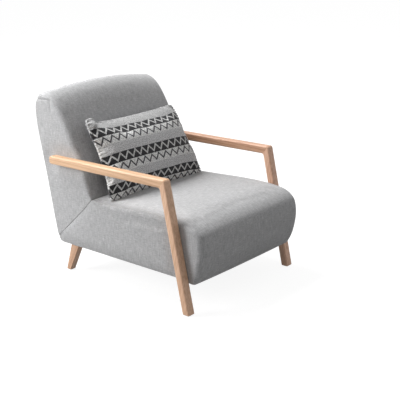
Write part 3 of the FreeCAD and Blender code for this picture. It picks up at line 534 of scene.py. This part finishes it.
# %% Setting the cushion in its place
cushion_lean = math.radians(28)
foot_back, foot_up = 0.0560, 0.3880
cushion_rest = np.stack(
    [across,
     foot_back + along * math.sin(cushion_lean) - out * math.cos(cushion_lean),
     foot_up + along * math.cos(cushion_lean) + out * math.sin(cushion_lean)], 1)
cushion.data.vertices.foreach_set("co", cushion_rest.ravel())
cushion.data.update()
rear_faces = [face.index for face in cushion.data.polygons
              if not front[list(face.vertices)].any()]
bpy.ops.object.mode_set(mode="EDIT")
bpy.ops.mesh.select_all(action="SELECT")
bpy.ops.mesh.normals_make_consistent(inside=False)
bpy.ops.object.mode_set(mode="OBJECT")
print("faces of the cushion's rear:", len(rear_faces))

# %% [markdown]
# The cloth of the cushion is a little longer than its form and its seam is held, so it swells
# into soft waves, as the pads did.

# %% Waves
seam_share = 0.999
seam = np.maximum(np.abs(u), np.abs(v)) > seam_share
swell(cushion, seam, pressure=2.5, cap=0.008, stiffness=12.0, bending=0.2, spare=0.035,
      outward_only=False)
for index in rear_faces:
    cushion.data.polygons[index].material_index = 1
subdivide_smoothly(cushion)

# %% [markdown]
# Close to the seam the stitches gather the cloth into short puckers, pressed in last. They are
# about 13 mm apart, and two slow waves along the seam keep them from being even.

# %% Puckers
pucker_reach, pucker_depth, pucker_pitch, stitch_gap = 0.016, 0.0030, 0.0135, 0.004
wander, wander_short, wander_long = 1.3, 97, 41
mesh = cushion.data
on_cloth = np.zeros((len(mesh.vertices), 2))
for loop, corner in zip(mesh.loops, mesh.uv_layers["cloth"].data):
    on_cloth[loop.vertex_index] = corner.uv
to_side = np.minimum(on_cloth[:, 0], cushion_wide - on_cloth[:, 0])
to_end = np.minimum(on_cloth[:, 1], cushion_high - on_cloth[:, 1])
run = np.where(to_side < to_end, on_cloth[:, 1], on_cloth[:, 0])
gather = np.sin(2 * math.pi * run / pucker_pitch + wander * np.sin(run * wander_short)
                + np.sin(run * wander_long))
nearest = np.minimum(to_side, to_end)
lift = pucker_depth * gather * np.exp(-nearest / pucker_reach) * eased(nearest / stitch_gap)
co = np.array([p.co for p in mesh.vertices])
co += np.array([p.normal for p in mesh.vertices]) * lift[:, None]
mesh.vertices.foreach_set("co", co.ravel())
mesh.update()
print("cushion", len(mesh.polygons), "faces")


# %% [markdown]
# ## Colours and nodes
# Colours are written as on a paint card, in sRGB hex, and one function turns them into the
# linear values that the shader needs. One function adds a node with its settings and links.

# %% Helpers for materials
def linear(card):
    """An sRGB hex colour as linear red, green, blue and alpha."""
    values = [int(card[i:i + 2], 16) / 255 for i in (1, 3, 5)]
    return [v / 12.92 if v <= 0.04045 else ((v + 0.055) / 1.055) ** 2.4 for v in values] + [1]


def add(tree, kind, inputs=(), **settings):
    """One node. inputs holds a value or an output for each named or numbered socket."""
    node = tree.nodes.new("ShaderNode" + kind)
    for key, value in settings.items():
        setattr(node, key, value)
    for key, value in dict(inputs).items():
        if isinstance(value, bpy.types.NodeSocket):
            tree.links.new(value, node.inputs[key])
        else:
            node.inputs[key].default_value = value
    return node


def new_finish(name):
    """A material with its shader, whose roughness and bump are set by the caller."""
    finish = bpy.data.materials.get(name) or bpy.data.materials.new(name)
    finish.use_nodes = True
    tree = finish.node_tree
    return finish, tree, tree.nodes["Principled BSDF"]


def paint(obj, finish):
    """Gives a piece one finish and no other."""
    obj.data.materials.clear()
    obj.data.materials.append(finish)


# %% [markdown]
# ## Grey heather upholstery cloth
# The cover is a flat weave of mixed light and dark wool-like yarn. From a step away it reads as
# pale grey with short slubs in both directions. The yarns are under a millimetre, finer than
# the picture can show, so the slubs are drawn some four times as coarse: 3 to 4 mm wide and 28
# to 36 mm long. Noise scales count cells in a metre of the cloth's own map.

# %% Upholstery cloth
weft_scale, warp_scale, blotch_scale = (36, 320, 1), (230, 28, 1), 330.0
heather, tree, shader = new_finish("grey_heather_flat_weave")
cloth_map = add(tree, "UVMap", uv_map="cloth")
across = add(tree, "Mapping", {"Vector": cloth_map.outputs["UV"], "Scale": weft_scale})
along = add(tree, "Mapping", {"Vector": cloth_map.outputs["UV"], "Scale": warp_scale})
weft = add(tree, "TexNoise", {"Vector": across.outputs[0], "Scale": 1.0, "Detail": 2.0})
warp = add(tree, "TexNoise", {"Vector": along.outputs[0], "Scale": 1.0, "Detail": 2.0})
blotch = add(tree, "TexNoise", {"Vector": cloth_map.outputs["UV"], "Scale": blotch_scale,
                                "Detail": 3.0})
yarns = add(tree, "Math", {0: weft.outputs[0], 1: warp.outputs[0]}, operation="ADD")
mixed = add(tree, "Math", {0: yarns.outputs[0], 1: blotch.outputs[0]}, operation="ADD")
tone = add(tree, "MapRange", {"Value": mixed.outputs[0], "From Min": 1.05, "From Max": 1.95})
ramp = add(tree, "ValToRGB", {"Fac": tone.outputs[0]})
ramp.color_ramp.elements[0].color = linear("#8F8F90")
ramp.color_ramp.elements[1].color = linear("#C6C6C7")
middle = ramp.color_ramp.elements.new(0.5)
middle.color = linear("#ABABAC")
tree.links.new(ramp.outputs[0], shader.inputs["Base Color"])
bump = add(tree, "Bump", {"Strength": 0.15, "Distance": 0.0005, "Height": mixed.outputs[0]})
tree.links.new(bump.outputs[0], shader.inputs["Normal"])
shader.inputs["Roughness"].default_value = 0.92
shader.inputs["Specular IOR Level"].default_value = 0.25
shader.inputs["Sheen Weight"].default_value = 0.25
shader.inputs["Sheen Roughness"].default_value = 0.5
pads = (seat_pad, back_pad, rear_pad)
for pad in pads:
    paint(pad, heather)
print("upholstery cloth on", len(pads), "pads")

# %% [markdown]
# ## Zigzag cushion cloth
# A cotton weave with bands about 43 mm high. From the top: light, then a black band with a
# light zigzag, a light band with a dark one, and a plain mid-grey band, and so on again. The
# pattern follows the cloth's own map, so it bends with every pucker. The top band is painted a
# darker grey than the other light bands, as painted shade from the back above it.

# %% Sizes and colours of the bands
band, pitch, top_margin, pattern_skew = 0.0435, 0.0440, 0.053, 0.018
line_half, wave_low, wave_high = 0.135, 0.14, 0.80
light, dark, mid, line_dark = "#DEDEDD", "#343436", "#C7C7C8", "#545457"
# The top band's grey is painted shade: the light band is darkened where the back shades it.
top_band_painted_shade, line_light = "#B0B0B0", "#C8C8C7"
black_band, light_band, plain_band = (dark, line_light), (light, line_dark), (mid, mid)
bands = [(top_band_painted_shade, top_band_painted_shade), black_band, light_band, plain_band, black_band, light_band,
         plain_band, black_band, light_band, (light, light)]
last_band = float(len(bands) - 1)
print("zigzag bands:", len(bands))

# %% [markdown]
# The height on the cloth, counted in bands, picks the ground colour and the zigzag's colour of
# each band. The zigzag itself is where the height in the band is close to a wave that runs to
# and fro along the cloth.

# %% Bands and zigzags
_, tree, shader = new_finish("zigzag_cotton_weave")
cloth_map = add(tree, "UVMap", uv_map="cloth")
place = add(tree, "SeparateXYZ", {0: cloth_map.outputs["UV"]})
skew = add(tree, "Math", {0: place.outputs[0], 1: -pattern_skew, 2: place.outputs[1]},
           operation="MULTIPLY_ADD")
rise = add(tree, "Math", {0: skew.outputs[0], 1: top_margin}, operation="SUBTRACT")
step_up = add(tree, "Math", {0: rise.outputs[0], 1: band}, operation="DIVIDE")
band_share = add(tree, "Math", {0: step_up.outputs[0], 1: last_band}, operation="DIVIDE")
in_band = add(tree, "Math", {0: step_up.outputs[0]}, operation="FRACT")
wave = add(tree, "Math", {0: place.outputs[0], 1: pitch / 2}, operation="PINGPONG")
wave_share = add(tree, "MapRange", {"Value": wave.outputs[0], "From Max": pitch / 2,
                                    "To Min": wave_low, "To Max": wave_high})
gap = add(tree, "Math", {0: in_band.outputs[0], 1: wave_share.outputs[0]}, operation="SUBTRACT")
away = add(tree, "Math", {0: gap.outputs[0]}, operation="ABSOLUTE")
line = add(tree, "Math", {0: away.outputs[0], 1: line_half}, operation="LESS_THAN")
ground = add(tree, "ValToRGB", {"Fac": band_share.outputs[0]})
zigzag = add(tree, "ValToRGB", {"Fac": band_share.outputs[0]})
for ramp, which in ((ground, 0), (zigzag, 1)):
    stops = ramp.color_ramp
    stops.interpolation = "CONSTANT"
    stops.elements[0].color = linear(bands[0][which])
    stops.elements.remove(stops.elements[1])
    for k, pair in enumerate(bands[1:]):
        stops.elements.new(k / last_band + 0.0001).color = linear(pair[which])
zigzags = add(tree, "Mix", {0: line.outputs[0], 6: ground.outputs[0], 7: zigzag.outputs[0]},
              data_type="RGBA")

# %% [markdown]
# The plain bands don't reach the left seam: they end in a thin dark line, and the cloth beyond
# it is light. Bands repeat in threes, and the third of each three is the plain one.

# %% Ends of the plain bands
end_line, end_width, repeat, plain_from, plain_until = 0.0240, 0.0265, 3.0, 2.0, 6.0
edge_stops = add(tree, "ValToRGB", {"Fac": place.outputs[0]})
stops = edge_stops.color_ramp
stops.interpolation = "CONSTANT"
stops.elements[0].color = linear(light)
stops.elements[1].position = end_width
stops.elements[1].color = linear(mid)
stops.elements.new(end_line).color = linear(line_dark)
plain_at = add(tree, "Math", {0: step_up.outputs[0], 1: repeat}, operation="MODULO")
is_plain = add(tree, "Math", {0: plain_at.outputs[0], 1: plain_from}, operation="GREATER_THAN")
inside = add(tree, "Math", {0: step_up.outputs[0], 1: plain_until}, operation="LESS_THAN")
near_edge = add(tree, "Math", {0: place.outputs[0], 1: end_width}, operation="LESS_THAN")
plain_edge = add(tree, "Math", {0: is_plain.outputs[0], 1: near_edge.outputs[0]},
                 operation="MULTIPLY")
border = add(tree, "Math", {0: plain_edge.outputs[0], 1: inside.outputs[0]},
             operation="MULTIPLY")
pattern = add(tree, "Mix", {0: border.outputs[0], 6: zigzags.outputs[2],
                            7: edge_stops.outputs[0]}, data_type="RGBA")

# %% [markdown]
# The yarns are thick and uneven, so the colours are flecked and the surface is rough. A fleck is
# about 5 mm, coarser than the real yarn, so that it shows.

# %% Flecks and relief of the cushion cloth
fleck = add(tree, "TexNoise", {"Vector": cloth_map.outputs["UV"], "Scale": 210.0, "Detail": 2.0,
                               "Roughness": 0.7})
shade = add(tree, "MapRange", {"Value": fleck.outputs[0], "From Min": 0.3, "From Max": 0.7,
                               "To Min": 0.35, "To Max": 1.5})
cloth = add(tree, "Mix", {0: 1.0, 6: pattern.outputs[2], 7: shade.outputs[0]},
            data_type="RGBA", blend_type="MULTIPLY")
tree.links.new(cloth.outputs[2], shader.inputs["Base Color"])
bump = add(tree, "Bump", {"Strength": 0.5, "Distance": 0.001, "Height": fleck.outputs[0]})
tree.links.new(bump.outputs[0], shader.inputs["Normal"])
shader.inputs["Roughness"].default_value = 0.95
shader.inputs["Specular IOR Level"].default_value = 0.2
shader.inputs["Sheen Weight"].default_value = 0.15
print("cushion cloth has", len(tree.nodes), "nodes")

# %% [markdown]
# The rear of such a cushion is often a plainer cloth. Here it is a mid-grey plain weave, flecked
# every 2 or 3 mm. Its dark grey is partly painted shade, so that the gap between the cushion
# and the back reads dark.

# %% Plain back of the cushion
_, tree, shader = new_finish("plain_weave_painted_shade")
cloth_map = add(tree, "UVMap", uv_map="cloth")
rear_fleck = add(tree, "TexNoise", {"Vector": cloth_map.outputs["UV"], "Scale": 420.0,
                                    "Detail": 2.0})
# Painted shade: the rear cloth is darkened so that the gap beside the cushion looks shaded.
rear_painted_shade = add(tree, "ValToRGB", {"Fac": rear_fleck.outputs[0]})
rear_painted_shade.color_ramp.elements[0].position = 0.3
rear_painted_shade.color_ramp.elements[0].color = linear("#6E6E71")
rear_painted_shade.color_ramp.elements[1].position = 0.7
rear_painted_shade.color_ramp.elements[1].color = linear("#8E8E91")
tree.links.new(rear_painted_shade.outputs[0], shader.inputs["Base Color"])
bump = add(tree, "Bump", {"Strength": 0.5, "Distance": 0.0008, "Height": rear_fleck.outputs[0]})
tree.links.new(bump.outputs[0], shader.inputs["Normal"])
shader.inputs["Roughness"].default_value = 0.95
print("plain faces:", len(rear_faces))


# %% [markdown]
# ## Beech
# The arms and legs are solid beech with a thin satin lacquer: pinkish tan, with faint long
# growth bands and short dark flecks of ray tissue. The grain runs along each piece, so the
# pattern is turned to the piece and stretched along it. Bands are about 9 mm wide and flecks
# 1 mm. The pieces' tones differ partly as boards do and partly as painted light: the far arm
# is painted darker as painted shade, and the front legs lighter as painted light.

# %% Beech finish
band_scale, ray_scale, ray_card = (110, 110, 3.5), (900, 900, 60), "#9C6B48"


def beech(name, lean, card_light, card_dark):
    """Beech whose grain runs along a piece that leans by so many degrees from upright."""
    finish, tree, shader = new_finish(name)
    where = add(tree, "TexCoord")
    turned = add(tree, "Mapping", {"Vector": where.outputs["Object"],
                                   "Rotation": (math.radians(lean), 0, 0)})
    long_grain = add(tree, "Mapping", {"Vector": turned.outputs[0], "Scale": band_scale})
    bands = add(tree, "TexNoise", {"Vector": long_grain.outputs[0], "Scale": 1.0, "Detail": 4.0,
                                   "Roughness": 0.6, "Distortion": 0.4})
    fine = add(tree, "Mapping", {"Vector": turned.outputs[0], "Scale": ray_scale})
    flecks = add(tree, "TexNoise", {"Vector": fine.outputs[0], "Scale": 1.0, "Detail": 2.0})
    fleck_mask = add(tree, "MapRange", {"Value": flecks.outputs[0], "From Min": 0.6,
                                        "From Max": 0.75, "To Min": 0.0, "To Max": 0.35})
    ramp = add(tree, "ValToRGB", {"Fac": bands.outputs[0]})
    ramp.color_ramp.elements[0].position = 0.34
    ramp.color_ramp.elements[0].color = linear(card_dark)
    ramp.color_ramp.elements[1].position = 0.62
    ramp.color_ramp.elements[1].color = linear(card_light)
    wood = add(tree, "Mix", {0: fleck_mask.outputs[0], 6: ramp.outputs[0],
                             7: linear(ray_card)}, data_type="RGBA")
    tree.links.new(wood.outputs[2], shader.inputs["Base Color"])
    bump = add(tree, "Bump", {"Strength": 0.08, "Distance": 0.0003,
                              "Height": flecks.outputs[0]})
    tree.links.new(bump.outputs[0], shader.inputs["Normal"])
    shader.inputs["Roughness"].default_value = 0.5
    shader.inputs["Coat Weight"].default_value = 0.15
    shader.inputs["Coat Roughness"].default_value = 0.25
    return finish


arm_grain, leg_grain, rear_grain = 89, -13, -25
# The right arm is the near one. The left arm, the far one, is painted darker as painted shade.
# Both front legs are painted lighter as painted light, the far left one a touch redder as
# painted shade.
paint(nodes["right_arm_rail"], beech("beech_right_arm", arm_grain, "#DAB38F", "#BD946F"))
paint(nodes["left_arm_rail"], beech("beech_left_arm_painted_shade", arm_grain, "#CDA184", "#AF8265"))
paint(nodes["right_front_leg"], beech("beech_right_leg_painted_light", leg_grain, "#E6BE9F", "#CA9F80"))
paint(nodes["left_front_leg"], beech("beech_left_leg_painted_light", leg_grain, "#E6BCA0", "#CA9C81"))
for side in ("left", "right"):
    paint(nodes[side + "_rear_leg"], beech("beech_" + side + "_rear_leg", rear_grain,
                                           "#CDA587", "#AE866A"))
print("beech on six pieces")


# %% [markdown]
# ## Hidden and small pieces
# Nobody sees the frame, the springs or the webbing once the cover is on, but someone who lifts
# the cushion or opens the model does. Each gets a plain finish of its own material. Sawn pine
# shows long soft bands. Calico, felt and non-woven cloth are matt and even. Oiled spring steel
# is a dull metal, zinc plating a brighter one, and moulded nylon has a faint satin grain. Scales
# count cells in a metre, so 900 is a grain of 1 mm and 120 a growth band of 8 mm.

# %% Finishes for the frame and the hardware
def grained(name, card_light, card_dark, scale, roughness, metal=0.0, depth=0.0002):
    """A finish with one noise for tone and relief, stretched by its scale in each direction."""
    finish, tree, shader = new_finish(name)
    where = add(tree, "TexCoord")
    stretched = add(tree, "Mapping", {"Vector": where.outputs["Object"], "Scale": scale})
    noise = add(tree, "TexNoise", {"Vector": stretched.outputs[0], "Scale": 1.0, "Detail": 4.0})
    ramp = add(tree, "ValToRGB", {"Fac": noise.outputs[0]})
    ramp.color_ramp.elements[0].position = 0.3
    ramp.color_ramp.elements[0].color = linear(card_dark)
    ramp.color_ramp.elements[1].position = 0.7
    ramp.color_ramp.elements[1].color = linear(card_light)
    tree.links.new(ramp.outputs[0], shader.inputs["Base Color"])
    bump = add(tree, "Bump", {"Strength": 0.3, "Distance": depth, "Height": noise.outputs[0]})
    tree.links.new(bump.outputs[0], shader.inputs["Normal"])
    shader.inputs["Roughness"].default_value = roughness
    shader.inputs["Metallic"].default_value = metal
    return finish


finishes = {
    "frame_timber": grained("sawn_pine", "#D8B988", "#B9935F", (8, 120, 120), 0.8),
    "dowel_wood": grained("fluted_beech_dowel", "#D9B48C", "#BE9263", (200, 200, 200), 0.7),
    "board": grained("hardboard", "#9A7650", "#7C5B3A", (300, 300, 300), 0.85),
    "calico": grained("unbleached_calico", "#D8D0BE", "#BDB49F", (900, 900, 900), 0.95),
    "black_nonwoven": grained("black_spunbond", "#2B2B2D", "#1A1A1C", (500, 500, 500), 0.95),
    "felt": grained("grey_needle_felt", "#6B6864", "#4C4A47", (400, 400, 400), 0.98),
    "webbing": grained("rubberised_webbing", "#4A4640", "#2E2B27", (60, 700, 700), 0.9),
    "spring_steel": grained("oiled_spring_steel", "#8A8A8C", "#6A6A6E", (900, 900, 900), 0.35,
                            metal=1.0),
    "zinc_steel": grained("zinc_plated_steel", "#C2C4C8", "#A9ABB0", (700, 700, 700), 0.32,
                          metal=1.0),
    "clip_plastic": grained("moulded_nylon", "#E2E0D8", "#D2D0C8", (500, 500, 500), 0.5),
    "glide_plastic": grained("moulded_black_nylon", "#2A2A2C", "#1D1D1F", (500, 500, 500), 0.5),
    "wadding": grained("polyester_wadding", "#F0F0EE", "#DCDCDA", (200, 200, 200), 1.0,
                       depth=0.001),
    "foam": grained("cut_foam", "#E8DFC4", "#D6CCAE", (900, 900, 900), 1.0),
}
slots = {row["node"]: row["material_slot"] for row in frame["record"]["subparts"]}
plain = [name for name in nodes if slots[name] in finishes]
for name in plain:
    paint(nodes[name], finishes[slots[name]])
print("plain finishes on", len(plain), "nodes")

# %% [markdown]
# ## Fitting the pieces to the model
# Every soft piece rides on its body and stands for the solids that it replaces. The cushion is
# a body of its own, because it can be picked up.

# %% Bodies and what each piece replaces
for side in ("left", "right"):
    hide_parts(side + "_seat_side_cover", side + "_side_wadding")
    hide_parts(side + "_back_side_cover")
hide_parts("seat_cover", "seat_wadding", "front_roll_foam", "seat_foam")
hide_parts("back_cover", "back_wadding", "back_foam", "top_foam")
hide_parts("rear_cover", "rear_padding")
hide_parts("cushion_front_cover", "cushion_back_cover", "cushion_filling")
for pad in pads:
    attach(pad, "chair")
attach(cushion, "cushion")
print("soft pieces:", len(pads) + 1)

# %% [markdown]
# ## Floor, light and camera
# A pale floor and a white surround. Both look white to the camera and to anything glossy, while
# the light that they throw on the chair is weaker, and weakest from the left. So the white
# never comes from more light on the chair, and the floor keeps its shadow.

# %% Floor
floor_card, white_card, floor_glow, shadow_share = "#8C8C8C", "#F4F4F4", 1.21, 0.26


def looked_at(tree):
    """1 for rays from the camera, a gloss or a clear piece, and 0 for light that bounces."""
    path = add(tree, "LightPath").outputs
    glossy = add(tree, "Math", {0: path["Is Camera Ray"], 1: path["Is Glossy Ray"]},
                 operation="MAXIMUM")
    return add(tree, "Math", {0: glossy.outputs[0], 1: path["Is Transmission Ray"]},
               operation="MAXIMUM").outputs[0]


bpy.ops.mesh.primitive_plane_add(size=80)
floor = bpy.context.object
floor.name = "floor"
floor_paint, tree, shader = new_finish("pale_studio_floor")
shader.inputs["Roughness"].default_value = 0.9
shader.inputs["Base Color"].default_value = linear(floor_card)
white = add(tree, "BsdfDiffuse", {"Color": linear(white_card)})
glow = add(tree, "Emission", {"Color": (1, 1, 1, 1), "Strength": floor_glow})
seen = add(tree, "MixShader", {0: shadow_share, 1: glow.outputs[0], 2: white.outputs[0]})
both = add(tree, "MixShader", {0: looked_at(tree), 1: shader.outputs[0], 2: seen.outputs[0]})
tree.links.new(both.outputs[0], tree.nodes["Material Output"].inputs["Surface"])
paint(floor, floor_paint)
print("floor shows", round(100 * shadow_share), "percent of its shadow")

# %% [markdown]
# The surround lights the chair like the white walls of a studio with a darker wall on the left,
# so the left of each form is set off from the right.

# %% Surround
surround_left, surround_right = 0.27, 0.55
world = bpy.data.worlds.new("studio")
scene.world = world
world.use_nodes = True
tree = world.node_tree
toward = add(tree, "TexCoord")
sideways = add(tree, "SeparateXYZ", {0: toward.outputs["Generated"]})
ambient = add(tree, "MapRange", {"Value": sideways.outputs[0], "From Min": -1.0, "From Max": 1.0,
                                 "To Min": surround_left, "To Max": surround_right})
level = add(tree, "MapRange", {"Value": looked_at(tree), "To Min": ambient.outputs[0],
                               "To Max": 1.0})
surround = tree.nodes["Background"]
surround.inputs["Color"].default_value = (1, 1, 1, 1)
tree.links.new(level.outputs[0], surround.inputs["Strength"])
print("surround strength", surround_left, "to", surround_right)

# %% [markdown]
# Three soft lamps stand behind the chair: one low on the left for the side panel and the arm,
# a large one high up for the seat, and a weak one for the top of the back. The inside of the
# back and the front of the roll stay in shade, as in the photograph.

# %% Lamps
seat_aim, crest_aim = (0, 0, 0.4), (0, 0.4, 0.85)


def soft_lamp(name, place, aim, size, power):
    """A round lamp of size metres and power watts that looks at aim."""
    bpy.ops.object.light_add(type="AREA", location=place)
    lamp = bpy.context.object
    lamp.name = name
    lamp.data.shape = "DISK"
    lamp.data.size = size
    lamp.data.energy = power
    lamp.rotation_euler = (Vector(aim) - Vector(place)).to_track_quat("-Z", "Y").to_euler()


soft_lamp("side_lamp", (-2.2, 1.7, 1.3), seat_aim, size=1.5, power=60)
soft_lamp("top_lamp", (-0.6, 2.4, 4.5), seat_aim, size=2.4, power=265)
soft_lamp("rim_lamp", (-0.3, 2.3, 2.2), crest_aim, size=1.0, power=5)
print("three lamps")

# %% [markdown]
# The camera stands where the photographer stood, far back with a long lens: 50.65 degrees round
# from the front and looking down by 17.5 degrees, which the edges of the arms gave.

# %% Camera
looks_down, stands_round = 17.5, 50.65
bpy.ops.object.camera_add(location=(-3.0393, -2.6879, 1.6115),
                          rotation=(math.radians(90 - looks_down), 0,
                                    math.radians(-stands_round)))
camera = bpy.context.object
camera.name = "photographer"
camera.data.sensor_fit = "HORIZONTAL"
camera.data.sensor_width = 36
camera.data.lens = 81.26
scene.camera = camera
scene.view_settings.view_transform = "Standard"
print("camera lens", camera.data.lens)
